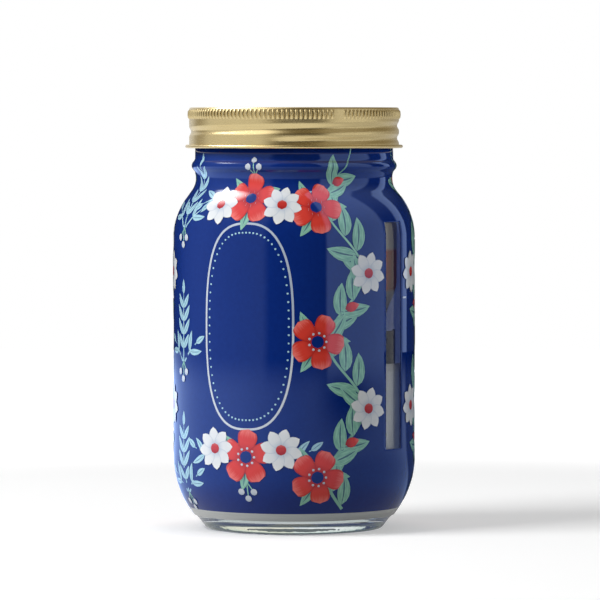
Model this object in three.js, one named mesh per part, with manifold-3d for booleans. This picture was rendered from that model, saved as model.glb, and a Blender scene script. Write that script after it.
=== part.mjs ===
// A clear jar with a printed wrap and a gold screw lid, packed with what is needed to grow herbs in it.
// Millimetres, +Z up. The origin is the centre of the base and the front of the jar faces -Y.
import * as THREE from "three";
import { mergeVertices } from "three/addons/utils/BufferGeometryUtils.js";
import Module from "manifold-3d";

const wasm = await Module();
wasm.setup();

const { degToRad, radToDeg, lerp, smoothstep } = THREE.MathUtils;
const facets = 40;

// Driving sizes of the jar, measured over the printed wrap. A drop is measured down from the rim.
const bodyRadius = 49;
const glassHeight = 168;
const heelRadius = 33.5;
const heelZ = 29;
const shoulderRadius = 28;
const shoulderDrop = 50;
const waistRadius = 39.7;
const waistDrop = 25.6;
const beadRadius = 41.7;
const beadDrop = 20.6;
const beadRound = 2.3;
const neckRadius = 40.2;

const shoulderZ = glassHeight - shoulderDrop;
const waistZ = glassHeight - waistDrop;
const beadZ = glassHeight - beadDrop;

// Printed wrap and its clear window, which starts above the heel and ends in the shoulder
const wrapFilm = 0.3;
const wrapGap = 0.1;
const wrapBottomZ = 5.7;
const wrapTopDrop = 11.5;
const windowBearing = -35;
const windowWidth = 10.7;
const windowRise = 5;
const windowReach = 7;

const wrapTopZ = glassHeight - wrapTopDrop;
const windowBottomZ = heelZ + windowRise;
const windowTopZ = shoulderZ + windowReach;

// Glass
const glassInset = wrapFilm + wrapGap;
const wall = 3.2;
const mouthRadius = 37.2;
const footZ = 5.5;
const footRadius = 33.2;
const footRound = 2;
const footWidth = 2.5;
const pushUp = 2.5;
const floorZ = 5.4;
const floorRise = 0.8;
const floorRadius = 28;
const floorEdgeZ = 7;
const rimRound = 0.8;

// Thread: the band's rolled groove runs half a pitch below the ridge of the glass
const pitch = 5.08;
const grooveDrop = 9.4;
const grooveDepth = 0.8;
const grooveHalfWidth = 2.2;
const grooveTurns = [-0.3, 1.15];
const ridgeTurns = [-0.36, 0.94];
const ridgeWidth = 2.4;
const ridgeCrest = 0.8;
const threadFade = 0.08;
const threadPlay = 0.3;

const grooveZ = glassHeight - grooveDrop;

// Lid stack
const stackGap = 0.1;
const sheetMetal = 0.35;
const sealHeight = 0.8;
const cardThickness = 0.4;
const flangeThickness = 0.6;
const skirtRadius = 42.65;
const knurlRadius = 43;
const knurlHeight = 4;
const knurlRibs = 144;
const bandHeight = 16.5;
const bandOpening = 36;
const bandCorner = 0.9;
const hemRadius = 44.2;
const hemRound = 0.7;
const skirtLevels = 14;
const discPlay = 0.65;
const panelRadius = 33;
const panelDrop = 0.5;
const sealWidth = 4;
const thumbNotch = 7;

// Basket, wick and coir
const potWall = 0.8;
const potPlay = 0.9;
const potDepth = 68;
const potTaper = 9.2;
const potCorner = 3;
const potSlots = 16;
const slotWidth = 3.2;
const slotHeight = 44;
const slotRise = 6;
const drainHoles = 8;
const drainRadius = 2.2;
const wickWidth = 16;
const wickThickness = 1.6;
const wickSpread = 5;
const wickPlay = 0.4;
const wickFloorGap = 2;
const restGap = 0.3;
const coirHeight = 15;
const coirPlay = 0.8;
const coirChamfer = 1.2;

// Packets stowed against the wall, from the glass inwards
const packetSeal = 0.7;
const packetGap = 0.4;
const plantFood = { width: 56, topZ: 68, fill: 2.5 };
const carbon = { width: 60, topZ: 81, fill: 2.9 };
const seeds = { width: 70, topZ: shoulderZ + 9, fill: 0.9 };
const seedLean = 4.6;
const seedBendZ = [carbon.topZ + 4, carbon.topZ + 20];

const vec2 = (x, y) => new THREE.Vector2(x, y);
const around = (r, angle, z) => new THREE.Vector3(r * Math.cos(angle), r * Math.sin(angle), z);
const steps = (count) => Array.from({ length: count + 1 }, (_, i) => i / count);

/** Points along an arc in the profile plane, between two angles in degrees. */
function arc(r, z, radius, from, to, count) {
  return steps(count).map((t) => {
    const angle = degToRad(from + (to - from) * t);
    return vec2(r + radius * Math.cos(angle), z + radius * Math.sin(angle));
  });
}

/** The geometry with its faces turned outwards, found from the sign of its volume. */
function facingOut(geometry) {
  const corner = (i) => new THREE.Vector3().fromBufferAttribute(geometry.attributes.position, i);
  const index = geometry.index.array;
  let volume = 0;
  for (let i = 0; i < index.length; i += 3) {
    const [a, b, c] = [corner(index[i]), corner(index[i + 1]), corner(index[i + 2])];
    volume += a.dot(b.cross(c));
  }
  if (volume < 0) index.reverse();
  return geometry;
}

/** A profile in (radius, height) turned about +Z, closed on itself unless it starts on the axis. */
function turned(profile) {
  const onAxis = profile[0].x === 0;
  const geometry = new THREE.LatheGeometry(onAxis ? profile : [...profile, profile[0]], facets);
  return facingOut(geometry.rotateX(Math.PI / 2));
}

/**
 * A closed skin over flat sections that share a point count. place(section point, station) sets each in space.
 * The first half of a section runs beside its second half, so the ends are closed by strips between the two.
 */
function lofted(sections, place, looped = false) {
  const count = sections[0].length;
  const points = sections.flatMap((section, i) => section.map((p) => place(p, i)));
  const index = [];
  const bays = looped ? sections.length : sections.length - 1;
  for (let i = 0; i < bays; i++) {
    const here = i * count;
    const next = ((i + 1) % sections.length) * count;
    for (let j = 0; j < count; j++) {
      const k = (j + 1) % count;
      index.push(here + j, here + k, next + k, here + j, next + k, next + j);
    }
  }
  if (!looped) {
    const last = (sections.length - 1) * count;
    for (let j = 0; j < count / 2 - 1; j++) {
      const k = count - 1 - j;
      index.push(j, k, k - 1, j, k - 1, j + 1);
      index.push(last + j, last + k - 1, last + k, last + j, last + j + 1, last + k - 1);
    }
  }
  const geometry = new THREE.BufferGeometry().setFromPoints(points);
  geometry.setIndex(index);
  return facingOut(geometry);
}

/** A closed geometry as a solid that can be joined and cut. */
function solid(geometry) {
  const bare = geometry.clone();
  bare.deleteAttribute("normal");
  bare.deleteAttribute("uv");
  const merged = mergeVertices(bare);
  const triVerts = [];
  for (let i = 0; i < merged.index.count; i += 3) {
    const [a, b, c] = merged.index.array.slice(i, i + 3);
    if (a !== b && b !== c && c !== a) triVerts.push(a, b, c);
  }
  return new wasm.Manifold(new wasm.Mesh({
    numProp: 3,
    vertProperties: new Float32Array(merged.attributes.position.array),
    triVerts: new Uint32Array(triVerts),
  }));
}

/** The three.js geometry of a joined or cut solid. */
function skinOf(manifold) {
  const mesh = manifold.getMesh();
  const geometry = new THREE.BufferGeometry();
  geometry.setAttribute("position", new THREE.BufferAttribute(mesh.vertProperties, 3));
  geometry.setIndex(new THREE.BufferAttribute(mesh.triVerts, 1));
  return geometry;
}

/** Copies of a solid set evenly around +Z. */
function ringOf(tool, count) {
  return wasm.Manifold.union(steps(count).slice(1).map((t) => tool.rotate([0, 0, 360 * t])));
}

/** Shoulder points from the body up to a straight throat, as a convex arc that runs into a hollow one. */
function shoulder(body, convex, throat, throatZ) {
  const centreR = body - convex;
  const rise = throatZ - shoulderZ;
  const reach = throat - centreR;
  const hollow = (reach ** 2 + rise ** 2 - convex ** 2) / (2 * (convex - reach));
  const angle = radToDeg(Math.atan2(rise, reach + hollow));
  return [
    ...arc(centreR, shoulderZ, convex, 0, angle, 4),
    ...arc(throat + hollow, throatZ, hollow, 180 + angle, 180, 3).slice(1),
  ];
}

const heelAngle = (z, inset) => -radToDeg(Math.asin((heelZ - z) / (heelRadius - inset)));
const wrapAngle = heelAngle(wrapBottomZ, 0);

/** The part of the outline that the wrap covers, from its lower edge to the neck, set in by a distance. */
function wrappedOutline(inset) {
  const beadEnd = radToDeg(Math.acos((neckRadius - beadRadius + beadRound) / beadRound));
  const bead = arc(beadRadius - beadRound, beadZ, beadRound - inset, -beadEnd, beadEnd, 5);
  return [
    ...arc(bodyRadius - heelRadius, heelZ, heelRadius - inset, wrapAngle, 0, 4),
    ...shoulder(bodyRadius - inset, shoulderRadius - inset, waistRadius - inset, waistZ),
    ...bead,
    vec2(neckRadius - inset, wrapTopZ),
  ];
}

const innerInset = glassInset + wall;

/** Inside radius of the straight wall and heel at a height. */
function insideRadius(z) {
  const drop = Math.max(heelZ - z, 0);
  return bodyRadius - heelRadius + Math.sqrt((heelRadius - innerInset) ** 2 - drop ** 2);
}

/** Glass surface from the middle of the base, out and up to the rim, and back down the inside to the middle. */
function glassProfile() {
  const finish = neckRadius - glassInset;
  const heelCentre = bodyRadius - heelRadius;
  const footAngle = heelAngle(footZ, glassInset);
  const heelEnd = heelCentre + (heelRadius - glassInset) * Math.cos(degToRad(footAngle));
  const footSide = footRadius + footRound;
  const foot = new THREE.CubicBezierCurve(
    vec2(footRadius, 0), vec2(footSide, 0), vec2(footSide, footRound), vec2(heelEnd, footZ));
  const floorEdge = insideRadius(floorEdgeZ);
  const floor = new THREE.QuadraticBezierCurve(
    vec2(floorEdge, floorEdgeZ), vec2((floorEdge + floorRadius) / 2, floorZ), vec2(floorRadius, floorZ));
  return [
    vec2(0, pushUp),
    vec2((footRadius - footWidth) * 0.7, pushUp * 0.75),
    vec2(footRadius - footWidth, 0),
    ...foot.getPoints(5),
    ...arc(heelCentre, heelZ, heelRadius - glassInset, footAngle, wrapAngle, 1).slice(1),
    ...wrappedOutline(glassInset).slice(1),
    ...arc(finish - rimRound, glassHeight - rimRound, rimRound, 0, 90, 2),
    ...arc(mouthRadius + rimRound, glassHeight - rimRound, rimRound, 90, 180, 2),
    ...shoulder(bodyRadius - innerInset, shoulderRadius - innerInset, mouthRadius, waistZ).reverse(),
    ...arc(heelCentre, heelZ, heelRadius - innerInset, 0, heelAngle(floorEdgeZ, innerInset), 4),
    ...floor.getPoints(3).slice(1),
    vec2(0, floorZ + floorRise),
  ];
}

/** How far a thread has risen to full height at a turn, from 0 at its ends to 1. */
function threadRise(turn, [start, end]) {
  return smoothstep(turn, start, start + threadFade) * (1 - smoothstep(turn, end - threadFade, end));
}

/** Helical ridge that the band screws onto, sunk into the neck so that the two join. */
function threadRidge() {
  const root = neckRadius - glassInset;
  const crest = skirtRadius - sheetMetal - threadPlay;
  const stations = steps(facets).map((t) => lerp(...ridgeTurns, t));
  const sections = stations.map((turn) => {
    const top = root + (crest - root) * threadRise(turn, ridgeTurns);
    const sunk = root - wall / 4;
    return [
      vec2(sunk, -ridgeWidth / 2), vec2(top, -ridgeCrest / 2), vec2(top, ridgeCrest / 2), vec2(sunk, ridgeWidth / 2),
    ];
  });
  const ridgeZ = grooveZ + pitch / 2;
  return lofted(sections, (p, i) => around(p.x, 2 * Math.PI * stations[i], ridgeZ + pitch * stations[i] + p.y));
}

function glassJar() {
  return skinOf(solid(turned(glassProfile())).add(solid(threadRidge())));
}

/** Printed film parallel to the glass, cut through where the window is. */
function printedWrap() {
  const film = solid(turned([...wrappedOutline(0), ...wrappedOutline(wrapFilm).reverse()]));
  const depth = shoulderRadius;
  const pane = new THREE.BoxGeometry(depth, windowWidth, windowTopZ - windowBottomZ);
  pane.translate(bodyRadius, 0, (windowTopZ + windowBottomZ) / 2);
  pane.rotateZ(degToRad(windowBearing));
  return skinOf(film.subtract(solid(pane)));
}

const flangeZ = glassHeight + stackGap;
const cardZ = flangeZ + flangeThickness + stackGap;
const sealZ = cardZ + cardThickness + stackGap;
const discZ = sealZ + sealHeight + stackGap;
const bandTopZ = discZ + sheetMetal + stackGap + sheetMetal;
const hemZ = bandTopZ - bandHeight + hemRound;
const lidRadius = skirtRadius - sheetMetal - discPlay;

/** Depth of the band's rolled groove at an angle and height. */
function grooveAt(angle, z) {
  const depths = [-1, 0, 1].map((lap) => {
    const turn = angle / (2 * Math.PI) + lap;
    const off = Math.min(Math.abs(z - grooveZ - pitch * turn) / grooveHalfWidth, 1);
    return grooveDepth * threadRise(turn, grooveTurns) * Math.cos((off * Math.PI) / 2) ** 2;
  });
  return Math.max(...depths);
}

/** Cut through the band at an angle: top flange, corner, grooved skirt and curled hem. */
function bandSection(angle) {
  const skirtTop = bandTopZ - bandCorner;
  const skirtFoot = hemZ + hemRound;
  const levels = steps(skirtLevels - 1).map((t) => lerp(skirtTop, skirtFoot, t));
  const skirt = (radius) => levels.map((z) => vec2(radius - grooveAt(angle, z), z));
  const inner = skirtRadius - sheetMetal;
  return [
    vec2(bandOpening, bandTopZ),
    ...arc(skirtRadius - bandCorner, skirtTop, bandCorner, 90, 30, 2),
    ...skirt(skirtRadius),
    ...arc(hemRadius - hemRound, hemZ, hemRound, 60, -90, 4),
    vec2(inner, hemZ - hemRound),
    ...skirt(inner).reverse().slice(0, -1),
    vec2(inner, bandTopZ - sheetMetal),
    vec2(bandOpening, bandTopZ - sheetMetal),
  ];
}

/** Ring of upright ribs around the top of the skirt. */
function knurl() {
  const outline = steps(2 * knurlRibs).slice(1).map((t, i) => {
    const angle = 2 * Math.PI * t;
    const radius = i % 2 ? knurlRadius : skirtRadius;
    return vec2(radius * Math.cos(angle), radius * Math.sin(angle));
  });
  const ring = new THREE.Shape(outline);
  ring.holes.push(new THREE.Path().absarc(0, 0, skirtRadius - sheetMetal / 2, 0, 2 * Math.PI, true));
  const ribs = new THREE.ExtrudeGeometry(ring, { depth: knurlHeight, bevelEnabled: false, curveSegments: facets });
  return ribs.translate(0, 0, bandTopZ - bandCorner - knurlHeight);
}

function screwBand() {
  const angles = steps(facets).slice(1).map((t) => 2 * Math.PI * t);
  const sheet = lofted(angles.map(bandSection), (p, i) => around(p.x, angles[i], p.y), true);
  return skinOf(solid(sheet).add(solid(knurl())));
}

/** Flat lid with a panel pressed down in the middle. */
function lidDisc() {
  const step = panelRadius + 2 * panelDrop;
  const face = (z) => [vec2(0, z - panelDrop), vec2(panelRadius, z - panelDrop), vec2(step, z), vec2(lidRadius, z)];
  return turned([...face(discZ), ...face(discZ + sheetMetal).reverse()]);
}

function sealRing() {
  const outer = lidRadius - stackGap;
  const section = [vec2(outer - sealWidth, sealZ), vec2(outer, sealZ), vec2(outer, sealZ + sealHeight)];
  return turned([...section, vec2(outer - sealWidth, sealZ + sealHeight)]);
}

const flangeRadius = neckRadius - glassInset;

/** Round card with a notch at the front to lift it by. */
function careCard() {
  const half = Math.asin(thumbNotch / flangeRadius);
  const notchY = -flangeRadius * Math.cos(half);
  const outline = new THREE.Shape();
  outline.absarc(0, 0, flangeRadius, -Math.PI / 2 + half, 1.5 * Math.PI - half, false);
  outline.absarc(0, notchY, thumbNotch, Math.PI, 0, true);
  const card = new THREE.ExtrudeGeometry(outline, { depth: cardThickness, bevelEnabled: false, curveSegments: 20 });
  return card.translate(0, 0, cardZ);
}

const potRadius = mouthRadius - potPlay;
const potFloorZ = flangeZ - potDepth;
const potFootRadius = potRadius - potTaper;

/** Steel basket with a flange, upright slots, drain holes and two slits for the wick. */
function netPot() {
  const foot = potFootRadius - potCorner;
  const flangeTop = flangeZ + flangeThickness;
  const cup = solid(turned([
    vec2(0, potFloorZ),
    vec2(foot, potFloorZ),
    vec2(potFootRadius, potFloorZ + potCorner),
    vec2(potRadius, flangeZ),
    vec2(flangeRadius, flangeZ),
    vec2(flangeRadius, flangeTop),
    vec2(potRadius - potWall, flangeTop),
    vec2(potFootRadius - potWall, potFloorZ + potCorner),
    vec2(foot - potWall / 2, potFloorZ + potWall),
    vec2(0, potFloorZ + potWall),
  ]));
  const slot = new THREE.BoxGeometry(potRadius, slotWidth, slotHeight);
  slot.translate(potRadius, 0, potFloorZ + potCorner + slotRise + slotHeight / 2);
  const drain = new THREE.CylinderGeometry(drainRadius, drainRadius, 4 * potWall, 8);
  drain.rotateX(Math.PI / 2).translate(0.75 * foot, 0, potFloorZ);
  const slit = new THREE.BoxGeometry(wickWidth + 2 * wickPlay, wickThickness + 2 * wickPlay, 4 * potWall);
  const slits = solid(slit.translate(0, wickSpread, potFloorZ));
  return skinOf(cup
    .subtract(ringOf(solid(slot), potSlots))
    .subtract(ringOf(solid(drain), drainHoles).rotate([0, 0, 180 / drainHoles]))
    .subtract(ringOf(slits, 2)));
}

const wickTopZ = potFloorZ + potWall + restGap + wickThickness;

/** Felt strip laid across the basket floor, with both tails hanging through the slits almost to the jar floor. */
function wick() {
  const outer = wickSpread + wickThickness / 2;
  const inner = outer - wickThickness;
  const tailZ = floorZ + floorRise + wickFloorGap;
  const underside = wickTopZ - wickThickness;
  const outline = new THREE.Shape([
    vec2(-outer, tailZ), vec2(-inner, tailZ), vec2(-inner, underside), vec2(inner, underside),
    vec2(inner, tailZ), vec2(outer, tailZ), vec2(outer, underside), vec2(inner, wickTopZ),
    vec2(-inner, wickTopZ), vec2(-outer, underside),
  ]);
  const strip = new THREE.ExtrudeGeometry(outline, { depth: wickWidth, bevelEnabled: false });
  strip.translate(0, 0, -wickWidth / 2);
  return strip.applyMatrix4(new THREE.Matrix4().makeBasis(
    new THREE.Vector3(0, 1, 0), new THREE.Vector3(0, 0, 1), new THREE.Vector3(1, 0, 0)));
}

/** Pressed coir block lying on the wick. */
function growMedium() {
  const radius = potFootRadius - potWall - coirPlay;
  const low = wickTopZ + restGap;
  const high = low + coirHeight;
  return turned([
    vec2(0, low), vec2(radius - coirChamfer, low), vec2(radius, low + coirChamfer),
    vec2(radius, high - coirChamfer), vec2(radius - coirChamfer, high), vec2(0, high),
  ]);
}

/** Filled packet that follows the inside of the jar at a depth from the glass by height, thin along its sealed edges. */
function packet({ width, topZ, fill }, depthAt) {
  const across = steps(8).map((t) => 2 * t - 1);
  const lowZ = floorEdgeZ + 1;
  const heights = steps(9).map((t) => lerp(lowZ, topZ, t));
  const halfAngle = width / 2 / (bodyRadius - innerInset - depthAt(lowZ));
  const sections = heights.map((z) => {
    const outer = insideRadius(z) - packetGap - depthAt(z);
    const v = (2 * (z - lowZ)) / (topZ - lowZ) - 1;
    const thickness = (u) => packetSeal + fill * Math.sqrt(Math.max((1 - u ** 4) * (1 - v ** 4), 0));
    const back = across.map((u) => vec2(u * halfAngle, outer));
    const front = across.map((u) => vec2(u * halfAngle, outer - thickness(u))).reverse();
    return [...back, ...front];
  });
  return lofted(sections, (p, i) => around(p.y, degToRad(windowBearing) + p.x, heights[i]));
}

const carbonDepth = packetSeal + plantFood.fill + packetGap;
const seedDepth = carbonDepth + packetSeal + carbon.fill + packetGap;

/** The seed packet stands behind the sachets and bends out towards the glass above them. */
const seedDepthAt = (z) => seedDepth - seedLean * smoothstep(z, ...seedBendZ);

const part = new THREE.Group();

function place(name, geometry, color, roughness, metalness = 0) {
  const mesh = new THREE.Mesh(geometry, new THREE.MeshStandardMaterial({ color, roughness, metalness }));
  mesh.name = name;
  part.add(mesh);
}

place("glass_jar", glassJar(), "#dfe9e4", 0.05);
place("printed_wrap", printedWrap(), "#26386b", 0.2);
place("screw_band", screwBand(), "#c9ac66", 0.35, 1);
place("lid_disc", lidDisc(), "#cfb36e", 0.35, 1);
place("seal_ring", sealRing(), "#c9c4b8", 0.7);
place("care_card", careCard(), "#efe6d2", 0.9);
place("net_pot", netPot(), "#b9bcc0", 0.3, 1);
place("wick", wick(), "#e6e1d6", 0.95);
place("grow_medium", growMedium(), "#5a3d28", 0.95);
place("plant_food_sachet", packet(plantFood, () => 0), "#b3b3ae", 0.4);
place("carbon_sachet", packet(carbon, () => carbonDepth), "#34332f", 0.6);
place("seed_packet", packet(seeds, seedDepthAt), "#8a4a36", 0.9);

export default part;
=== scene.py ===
import math
import random

import bmesh
import bpy
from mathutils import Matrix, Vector


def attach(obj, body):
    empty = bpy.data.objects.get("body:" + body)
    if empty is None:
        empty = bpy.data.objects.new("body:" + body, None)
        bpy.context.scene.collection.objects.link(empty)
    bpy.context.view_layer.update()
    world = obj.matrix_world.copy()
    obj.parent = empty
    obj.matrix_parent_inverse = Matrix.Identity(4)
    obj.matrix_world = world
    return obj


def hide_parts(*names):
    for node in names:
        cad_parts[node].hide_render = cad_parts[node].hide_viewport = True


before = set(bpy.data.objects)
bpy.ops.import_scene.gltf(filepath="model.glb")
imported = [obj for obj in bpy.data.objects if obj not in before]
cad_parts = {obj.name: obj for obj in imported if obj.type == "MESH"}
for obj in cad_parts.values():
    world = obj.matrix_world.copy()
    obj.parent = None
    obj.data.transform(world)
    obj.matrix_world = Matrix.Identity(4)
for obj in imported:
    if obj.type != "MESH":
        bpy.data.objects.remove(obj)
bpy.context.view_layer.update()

# Sizes in millimetres, as in the part's source apart from a slightly fuller heel, foot and ribbed edge.
# Meshes are scaled to metres as they are made.
MM = 0.001
BODY_RADIUS = 49
GLASS_HEIGHT = 168
HEEL_RADIUS, HEEL_Z = 38.4, 29.4
SHOULDER_RADIUS, SHOULDER_Z = 28, GLASS_HEIGHT - 50
WAIST_RADIUS, WAIST_Z = 39.7, GLASS_HEIGHT - 25.6
BEAD_RADIUS, BEAD_ROUND, BEAD_Z = 41.7, 2.3, GLASS_HEIGHT - 20.6
NECK_RADIUS = 40.2
FILM, GLASS_INSET, WALL = 0.3, 0.4, 3.2
WRAP_BOTTOM_Z, PRINT_BOTTOM_Z, WRAP_TOP_Z = 5.7, 8.9, GLASS_HEIGHT - 11.5
WINDOW_BEARING, WINDOW_WIDTH, WINDOW_LIP = -35, 10.7, 0.5
WINDOW_COLUMNS, WRAP_COLUMNS, BAND_SEGMENTS = 8, 230, 288
WINDOW_BOTTOM_Z, WINDOW_TOP_Z = 34, SHOULDER_Z + 7
MOUTH_RADIUS, RIM_ROUND = 37.2, 0.8
FOOT_Z, FOOT_RADIUS, FOOT_ROUND, FOOT_WIDTH, PUSH_UP = 5.5, 34.4, 2.2, 2.5, 2.5
FLOOR_Z, FLOOR_RISE, FLOOR_RADIUS, FLOOR_EDGE_Z = 5.4, 0.8, 28, 7
INNER_INSET = GLASS_INSET + WALL

# Screw thread, from the angle of +X
PITCH = 5.08
GROOVE_Z = GLASS_HEIGHT - 9.4
GROOVE_DEPTH, GROOVE_HALF = 0.8, 2.2
GROOVE_TURNS, RIDGE_TURNS, THREAD_FADE = (-0.3, 1.15), (-0.36, 0.94), 0.08
RIDGE_HALF, RIDGE_HEIGHT = 1.3, 1.95

# Lid stack
GAP = 0.1
SHEET = 0.35
FLANGE_Z, FLANGE_THICK = GLASS_HEIGHT + GAP, 0.6
CARD_Z, CARD_THICK = FLANGE_Z + FLANGE_THICK + GAP, 0.4
SEAL_Z, SEAL_HEIGHT, SEAL_WIDTH, SEAL_ROUND = CARD_Z + CARD_THICK + GAP, 0.8, 4, 0.25
DISC_Z = SEAL_Z + SEAL_HEIGHT + GAP
BAND_TOP_Z = DISC_Z + SHEET + GAP + SHEET
SKIRT_RADIUS, BAND_OPENING, BAND_CORNER, BAND_HEIGHT = 42.65, 36, 0.9, 16.5
SKIRT_TOP_Z = BAND_TOP_Z - BAND_CORNER
HEM_RADIUS, HEM_ROUND = 44.2, 0.7
HEM_Z = BAND_TOP_Z - BAND_HEIGHT + HEM_ROUND
RIBS, RIB_HEIGHT, RIB_DEPTH, RIB_ROOT, SEAM_BEARING = 144, 4, 0.65, 0.1, -65
LID_RADIUS, PANEL_RADIUS, PANEL_DROP = SKIRT_RADIUS - SHEET - 0.65, 33, 0.5
FLANGE_RADIUS = NECK_RADIUS - GLASS_INSET
THUMB_NOTCH = 7
CARD_RIM, CARD_DOTS_RADIUS, CARD_DOTS = 34.5, 31.8, 60

# Basket, wick, coir and packets
POT_WALL, POT_RADIUS, POT_DEPTH, POT_TAPER, POT_CORNER = 0.8, MOUTH_RADIUS - 0.9, 68, 9.2, 3
POT_FLOOR_Z = FLANGE_Z - POT_DEPTH
POT_FOOT = POT_RADIUS - POT_TAPER
POT_FLAT = POT_FOOT - POT_CORNER
SLOTS, SLOT_WIDTH, SLOT_HEIGHT, SLOT_RISE = 16, 3.2, 44, 6
SLOT_Z = POT_FLOOR_Z + POT_CORNER + SLOT_RISE + SLOT_HEIGHT / 2
DRAINS, DRAIN_RADIUS = 8, 2.2
WICK_WIDTH, WICK_THICK, WICK_SPREAD, WICK_BEND, WICK_PLAY = 16, 1.6, 5, 1.6, 0.8
WICK_TOP_Z = POT_FLOOR_Z + POT_WALL + 0.3 + WICK_THICK
WICK_TAIL_Z = FLOOR_Z + FLOOR_RISE + 2
COIR_RADIUS, COIR_LOW_Z, COIR_HEIGHT = POT_FOOT - POT_WALL - 0.8, WICK_TOP_Z + 0.3, 15
COIR_ROUND, COIR_ROUGH = 1.6, 0.35
FIBRE_RADIUS, FIBRE_LENGTH, FIBRE_ROOT, FIBRE_BOW, FIBRE_LEAN = 0.11, 2.6, 0.4, 0.5, 0.9
FIBRE_DENSITY = 110000.0  # to the square metre
PACKET_SEAL, PACKET_GAP = 0.7, 0.4
FOOD_WIDTH, FOOD_TOP_Z, FOOD_FILL = 56, 68, 2.5
CARBON_WIDTH, CARBON_TOP_Z, CARBON_FILL = 60, 81, 2.9
CARBON_DEPTH = PACKET_SEAL + FOOD_FILL + PACKET_GAP
SEED_DEPTH = CARBON_DEPTH + PACKET_SEAL + CARBON_FILL + PACKET_GAP
SEED_WIDTH, SEED_TOP_Z, SEED_FILL, SEED_LEAN = 70, SHOULDER_Z + 9, 0.9, 4.6
POUCH_CREASES, PAPER_CREASES, POUCH_FULL = 0.35, 0.12, 0.6
BANDS_TOP_Z = 138


def lerp(a, b, share):
    """From a at share 0 to b at share 1, for numbers and wires."""
    return a + (b - a) * share


def shares(count):
    """Even steps from 0 to 1."""
    return [i / count for i in range(count + 1)]


def turns(count):
    """Even angles all the way round."""
    return [2 * math.pi * i / count for i in range(count)]


def smoothstep(value, low, high):
    share = min(max((value - low) / (high - low), 0), 1)
    return share * share * (3 - 2 * share)


def around(radius, angle, z):
    return (radius * math.cos(angle), radius * math.sin(angle), z)


def reach(x, y):
    """Distance from the +Z axis, for numbers and wires."""
    return (x * x + y * y) ** 0.5


def srgb(red, green, blue):
    """A colour written as on a screen, in the linear light that shaders use."""
    levels = [value / 255 for value in (red, green, blue)]
    return (*[v / 12.92 if v <= 0.04045 else ((v + 0.055) / 1.055) ** 2.4 for v in levels], 1)


# Profiles, as (radius, height) points


def arc(r, z, radius, start, end, count):
    """Points along an arc between two angles in degrees."""
    angles = [math.radians(lerp(start, end, share)) for share in shares(count)]
    return [(r + radius * math.cos(a), z + radius * math.sin(a)) for a in angles]


def bezier(corners, count):
    """Points along the curve from the first corner to the last that the others pull out."""
    def at(line, t):
        if len(line) == 1:
            return line[0]
        return at([tuple(lerp(p, q, t) for p, q in zip(a, b)) for a, b in zip(line, line[1:])], t)
    return [at(corners, t) for t in shares(count)]


def lengths(points):
    """Distance of each point along a line."""
    run = [0]
    for a, b in zip(points, points[1:]):
        run.append(run[-1] + math.dist(a, b))
    return run


def normals(line):
    """Unit vectors to the left of a flat line, at each of its points."""
    found = []
    for (x0, y0), (x1, y1) in zip([line[0], *line], [*line[1:], line[-1]]):
        run = math.hypot(x1 - x0, y1 - y0)
        found.append(((y0 - y1) / run, (x1 - x0) / run))
    return found


def softened(points, spacing=0.4, passes=6):
    """A line with its corners eased: set out at even spacing and averaged with its neighbours."""
    run = lengths(points)
    line, bay = [], 0
    for share in shares(round(run[-1] / spacing)):
        while bay < len(run) - 2 and run[bay + 1] < share * run[-1]:
            bay += 1
        t = (share * run[-1] - run[bay]) / (run[bay + 1] - run[bay])
        line.append(tuple(lerp(p, q, t) for p, q in zip(points[bay], points[bay + 1])))
    for _ in range(passes):
        trios = zip(line, line[1:], line[2:])
        inner = [tuple((p + 2 * q + r) / 4 for p, q, r in zip(*trio)) for trio in trios]
        line = [line[0], *inner, line[-1]]
    return line


def thinned(line, turn=5, gap=6):
    """The points that follow a line's bends within an angle in degrees, no further apart than a gap."""
    kept, bend, start = [line[0]], 0, 0
    for i in range(1, len(line) - 1):
        before = math.atan2(line[i][1] - line[i - 1][1], line[i][0] - line[i - 1][0])
        after = math.atan2(line[i + 1][1] - line[i][1], line[i + 1][0] - line[i][0])
        bend += abs((after - before + math.pi) % (2 * math.pi) - math.pi)
        if bend > math.radians(turn) or math.dist(line[start], line[i]) > gap:
            kept.append(line[i])
            bend, start = 0, i
    return [*kept, line[-1]]


def shoulder(body, convex, throat):
    """From the body up to a straight throat, as a convex arc that runs into a hollow one."""
    centre = body - convex
    rise, run = WAIST_Z - SHOULDER_Z, throat - centre
    hollow = (run ** 2 + rise ** 2 - convex ** 2) / (2 * (convex - run))
    angle = math.degrees(math.atan2(rise, run + hollow))
    upper = arc(throat + hollow, WAIST_Z, hollow, 180 + angle, 180, 16)
    return arc(centre, SHOULDER_Z, convex, 0, angle, 24) + upper[1:]


def heel(inset, low_z, high_z):
    """Rounded lower part of the body between two heights, set in by a distance."""
    radius = HEEL_RADIUS - inset
    low, high = (-math.degrees(math.asin((HEEL_Z - z) / radius)) for z in (low_z, high_z))
    return arc(BODY_RADIUS - HEEL_RADIUS, HEEL_Z, radius, low, high, 24)


def wrapped_outline(inset):
    """Outside of the jar from the lower edge of the film to the top of it, set in by a distance."""
    bead_end = math.degrees(math.acos((NECK_RADIUS - BEAD_RADIUS + BEAD_ROUND) / BEAD_ROUND))
    return softened([
        *heel(inset, WRAP_BOTTOM_Z, HEEL_Z),
        *shoulder(BODY_RADIUS - inset, SHOULDER_RADIUS - inset, WAIST_RADIUS - inset),
        *arc(BEAD_RADIUS - BEAD_ROUND, BEAD_Z, BEAD_ROUND - inset, -bead_end, bead_end, 16),
        (NECK_RADIUS - inset, WRAP_TOP_Z),
    ])


def inside_radius(z):
    """Inside radius of the straight wall and heel at a height."""
    drop = max(HEEL_Z - z, 0)
    return BODY_RADIUS - HEEL_RADIUS + math.sqrt((HEEL_RADIUS - INNER_INSET) ** 2 - drop ** 2)


# Meshes


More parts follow.
